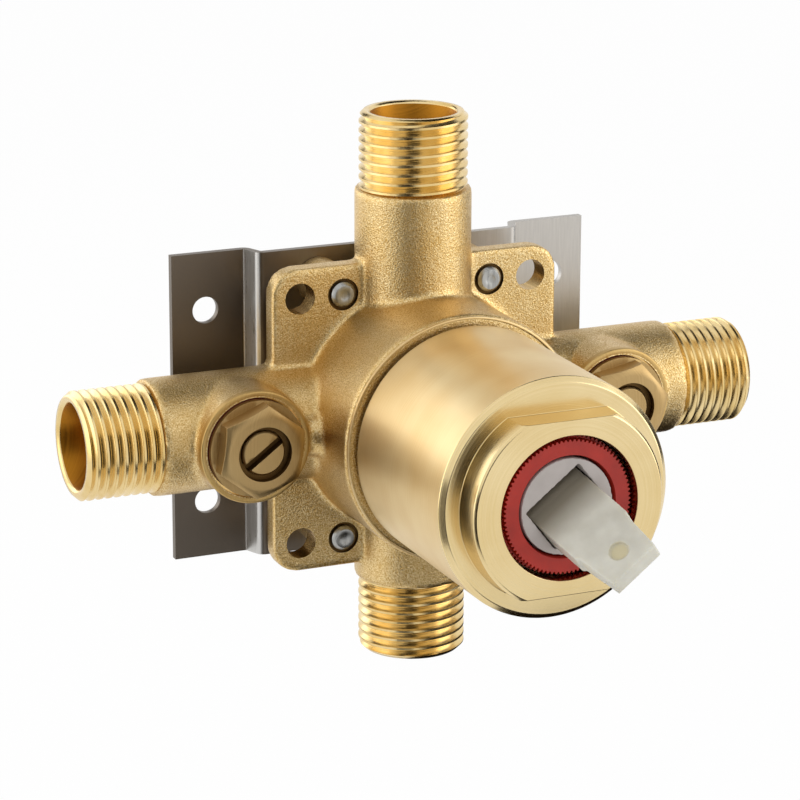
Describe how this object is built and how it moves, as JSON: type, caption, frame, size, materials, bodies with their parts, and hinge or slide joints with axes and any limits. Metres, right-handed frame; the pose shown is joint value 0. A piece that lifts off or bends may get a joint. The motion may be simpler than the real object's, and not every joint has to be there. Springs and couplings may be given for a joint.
{
  "type": "pressure balance rough-in valve",
  "caption": "Cast brass shower rough-in valve with threaded pipe ends, a folded wall bracket, a round bonnet, a lever cartridge and screwdriver stops.",
  "frame": {"origin": "middle of the bracket's four wall holes, on the wall plane at the back of the wings", "axes": "+X from the hot inlet to the cold inlet, -Y out of the wall towards the lever, +Z to the shower outlet"},
  "size_m": [0.14, 0.1029, 0.1082],
  "materials": {
    "cast_brass": "sand cast, machined at the threads",
    "bracket_steel": "plain rolled sheet",
    "screw_steel": "zinc plated",
    "satin_brass": "fine turned satin",
    "turned_brass": "turned",
    "red_plastic": "moulded",
    "grey_plastic": "moulded",
    "nylon": "moulded, slightly clear",
    "pin_steel": "ground",
    "white_plastic": "moulded",
    "spool_steel": "ground stainless",
    "ceramic": "lapped",
    "black_rubber": "moulded",
    "fibre": "pressed fibre"
  },
  "bodies": {
    "valve": {"valve_body": "cast_brass", "bracket": "bracket_steel", "bracket_screws": "screw_steel", "bonnet": "satin_brass", "hot_gland": "turned_brass", "cold_gland": "turned_brass", "temperature_limit_ring": "red_plastic", "cartridge_shell": "white_plastic", "cartridge_base": "white_plastic", "balance_housing": "white_plastic", "balance_sleeve": "spool_steel", "fixed_disc": "ceramic", "bonnet_gasket": "black_rubber", "sleeve_seals": "black_rubber", "port_seals": "black_rubber", "base_seals": "black_rubber", "floor_seal": "black_rubber", "hot_gland_washer": "fibre", "cold_gland_washer": "fibre"},
    "temperature_collar": {"temperature_collar": "grey_plastic", "lever_pin": "pin_steel"},
    "lever": {"lever": "nylon"},
    "disc_carrier": {"disc_carrier": "white_plastic", "moving_disc": "ceramic"},
    "balance_spool": {"balance_spool": "spool_steel"},
    "hot_stop_washer": {"hot_stop_washer": "black_rubber"},
    "hot_stop_stem": {"hot_stop_stem": "turned_brass", "hot_stem_seal": "black_rubber"},
    "cold_stop_washer": {"cold_stop_washer": "black_rubber"},
    "cold_stop_stem": {"cold_stop_stem": "turned_brass", "cold_stem_seal": "black_rubber"}
  },
  "joints": [
    {"name": "temperature_turn", "type": "hinge", "parent": "valve", "child": "temperature_collar", "pos_m": [0, -0.08185, 0], "axis": [0, -1, 0], "range_deg": [-83, 7]},
    {"name": "lever_tilt", "type": "hinge", "parent": "temperature_collar", "child": "lever", "pos_m": [0, -0.08185, 0], "axis": [-0.788, 0, -0.6157], "range_deg": [0, 28]},
    {"name": "carrier_slide", "type": "slide", "parent": "temperature_collar", "child": "disc_carrier", "axis": [0.6157, 0, -0.788], "range_m": [0, 0.00408]},
    {"name": "spool_slide", "type": "slide", "parent": "valve", "child": "balance_spool", "axis": [1, 0, 0], "range_m": [-0.0018, 0.0018]},
    {"name": "hot_stop_travel", "type": "slide", "parent": "valve", "child": "hot_stop_washer", "axis": [0, 1, 0], "range_m": [0, 0.00413]},
    {"name": "hot_stop_turn", "type": "hinge", "parent": "hot_stop_washer", "child": "hot_stop_stem", "pos_m": [-0.0382, -0.0309, 0], "axis": [0, 1, 0], "range_deg": [0, 990]},
    {"name": "cold_stop_travel", "type": "slide", "parent": "valve", "child": "cold_stop_washer", "axis": [0, 1, 0], "range_m": [0, 0.00413]},
    {"name": "cold_stop_turn", "type": "hinge", "parent": "cold_stop_washer", "child": "cold_stop_stem", "pos_m": [0.0382, -0.0309, 0], "axis": [0, 1, 0], "range_deg": [0, 990]}
  ],
  "couplings": [
    {"joint": "carrier_slide", "follows": "lever_tilt", "m_per_rad": 0.0083338},
    {"joint": "hot_stop_travel", "follows": "hot_stop_turn", "m_per_rad": 0.00023873},
    {"joint": "cold_stop_travel", "follows": "cold_stop_turn", "m_per_rad": 0.00023873}
  ]
}
